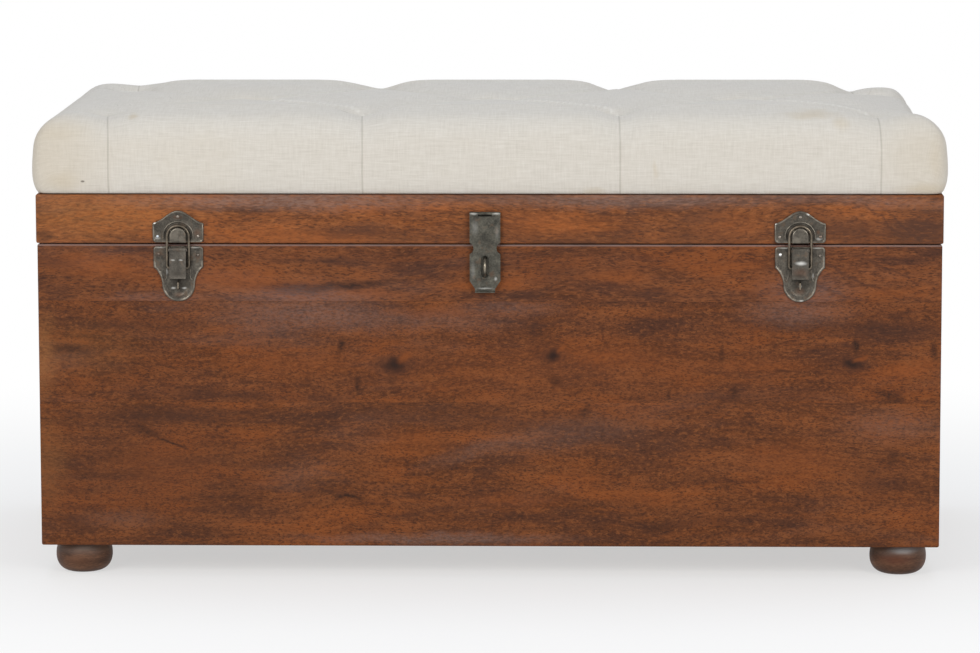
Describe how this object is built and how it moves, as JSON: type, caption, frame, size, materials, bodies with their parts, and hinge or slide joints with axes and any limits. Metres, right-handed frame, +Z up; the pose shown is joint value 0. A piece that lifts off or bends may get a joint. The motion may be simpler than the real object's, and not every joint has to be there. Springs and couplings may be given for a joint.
{
  "type": "storage bench",
  "caption": "Low wooden storage chest on bun feet with a hinged lid, a deep-buttoned padded seat, toggle latches and a hasp on the front.",
  "frame": {"origin": "on the floor, under the middle of the bench's overall box", "axes": "+X to the right of someone facing the front, +Y to the back, +Z up; the latches and the hasp face -Y"},
  "size_m": [0.914, 0.422, 0.4731],
  "materials": {
    "stained_pine": "pine boards stained warm brown, satin varnish",
    "stained_foot": "turned wood stained dark brown, satin",
    "plywood": "bare plywood",
    "bare_pine": "sawn pine, unfinished",
    "linen": "plain-woven off-white linen",
    "aged_iron": "pressed steel with an aged pewter finish, satin",
    "zinc_steel": "zinc-plated steel"
  },
  "bodies": {
    "chest": {"front_board_top": "stained_pine", "front_board_middle": "stained_pine", "front_board_bottom": "stained_pine", "back_panel": "stained_pine", "left_side_panel": "stained_pine", "right_side_panel": "stained_pine", "floor_board": "plywood", "front_left_corner_block": "bare_pine", "front_right_corner_block": "bare_pine", "back_left_corner_block": "bare_pine", "back_right_corner_block": "bare_pine", "front_left_foot": "stained_foot", "front_right_foot": "stained_foot", "back_left_foot": "stained_foot", "back_right_foot": "stained_foot", "left_latch_base": "aged_iron", "left_latch_pin": "aged_iron", "left_latch_eye": "aged_iron", "right_latch_base": "aged_iron", "right_latch_pin": "aged_iron", "right_latch_eye": "aged_iron", "hasp_staple_plate": "aged_iron", "hasp_staple": "aged_iron", "left_hinge_chest_leaf": "zinc_steel", "left_hinge_pin": "zinc_steel", "right_hinge_chest_leaf": "zinc_steel", "right_hinge_pin": "zinc_steel", "lid_stay_guide_screw": "zinc_steel"},
    "lid": {"lid_rail_front": "stained_pine", "lid_rail_back": "stained_pine", "lid_rail_left": "stained_pine", "lid_rail_right": "stained_pine", "lid_board": "plywood", "seat_cushion": "linen", "seat_button_01": "linen", "seat_button_02": "linen", "seat_button_03": "linen", "seat_button_04": "linen", "seat_button_05": "linen", "seat_button_06": "linen", "seat_button_07": "linen", "seat_button_08": "linen", "seat_button_09": "linen", "seat_button_10": "linen", "seat_button_11": "linen", "left_latch_catch": "aged_iron", "right_latch_catch": "aged_iron", "hasp_leaf": "aged_iron", "hasp_pin": "aged_iron", "left_hinge_lid_leaf": "zinc_steel", "right_hinge_lid_leaf": "zinc_steel", "lid_stay_lid_screw": "zinc_steel"},
    "left_lever": {"left_latch_lever": "aged_iron"},
    "left_bail": {"left_latch_bail": "aged_iron"},
    "right_lever": {"right_latch_lever": "aged_iron"},
    "right_bail": {"right_latch_bail": "aged_iron"},
    "hasp_strap": {"hasp_strap": "aged_iron"},
    "lid_stay": {"lid_stay_bar": "zinc_steel"}
  },
  "joints": [
    {"name": "lid_hinge", "type": "hinge", "parent": "chest", "child": "lid", "pos_m": [0, 0.20745, 0.3375], "axis": [-1, 0, 0], "range_deg": [0, 95]},
    {"name": "left_lever_pivot", "type": "hinge", "parent": "chest", "child": "left_lever", "pos_m": [-0.309, -0.20145, 0.3319], "axis": [-1, 0, 0], "range_deg": [0, 130]},
    {"name": "left_bail_pivot", "type": "hinge", "parent": "left_lever", "child": "left_bail", "pos_m": [-0.309, -0.20045, 0.3139], "axis": [-1, 0, 0], "range_deg": [-130, 0]},
    {"name": "right_lever_pivot", "type": "hinge", "parent": "chest", "child": "right_lever", "pos_m": [0.309, -0.20145, 0.3319], "axis": [-1, 0, 0], "range_deg": [0, 130]},
    {"name": "right_bail_pivot", "type": "hinge", "parent": "right_lever", "child": "right_bail", "pos_m": [0.309, -0.20045, 0.3139], "axis": [-1, 0, 0], "range_deg": [-130, 0]},
    {"name": "hasp_hinge", "type": "hinge", "parent": "lid", "child": "hasp_strap", "pos_m": [-0.0035, -0.1992, 0.3683], "axis": [-1, 0, 0], "range_deg": [0, 150]},
    {"name": "lid_stay_pivot", "type": "hinge", "parent": "lid", "child": "lid_stay", "pos_m": [0.4286, 0.07933, 0.3595], "axis": [-1, 0, 0], "range_deg": [-48, 0]}
  ],
  "couplings": [
    {"joint": "left_bail_pivot", "follows": "left_lever_pivot", "ratio": -1},
    {"joint": "right_bail_pivot", "follows": "right_lever_pivot", "ratio": -1},
    {"joint": "lid_stay_pivot", "follows": "lid_hinge", "ratio": -0.5}
  ]
}
